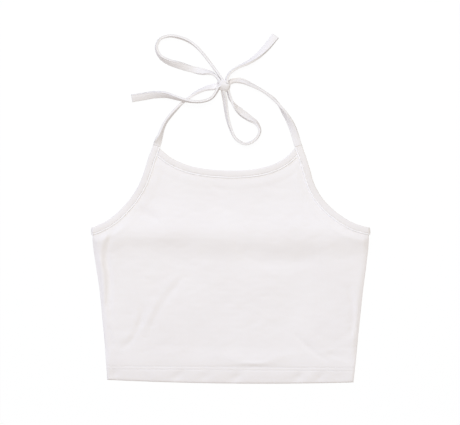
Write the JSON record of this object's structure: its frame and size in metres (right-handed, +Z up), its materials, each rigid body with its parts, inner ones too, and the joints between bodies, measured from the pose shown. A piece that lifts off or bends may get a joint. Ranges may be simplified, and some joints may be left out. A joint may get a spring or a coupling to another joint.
{
  "type": "halter neck tank top",
  "caption": "Short halter-neck tank top in plain jersey, laid flat face up, with bound edges and ties knotted in a bow.",
  "frame": {"origin": "on the surface that the garment lies on, under the centre line, halfway up the side seams", "axes": "+Y from the hem to the ties, +X to the picture's right, +Z up from the surface through the back and then the front"},
  "size_m": [0.3627, 0.4549, 0.0178],
  "materials": {
    "jersey": "matt fine single jersey, white",
    "binding_jersey": "matt folded and stitched jersey strip, white"
  },
  "bodies": {
    "root": {"front_panel": "jersey", "back_panel": "jersey", "neck_binding": "binding_jersey", "armhole_binding": "binding_jersey", "left_tie": "binding_jersey", "right_tie": "binding_jersey", "upper_loop": "binding_jersey", "lower_loop": "binding_jersey", "left_tail": "binding_jersey", "right_tail": "binding_jersey", "knot": "binding_jersey"}
  },
  "joints": []
}
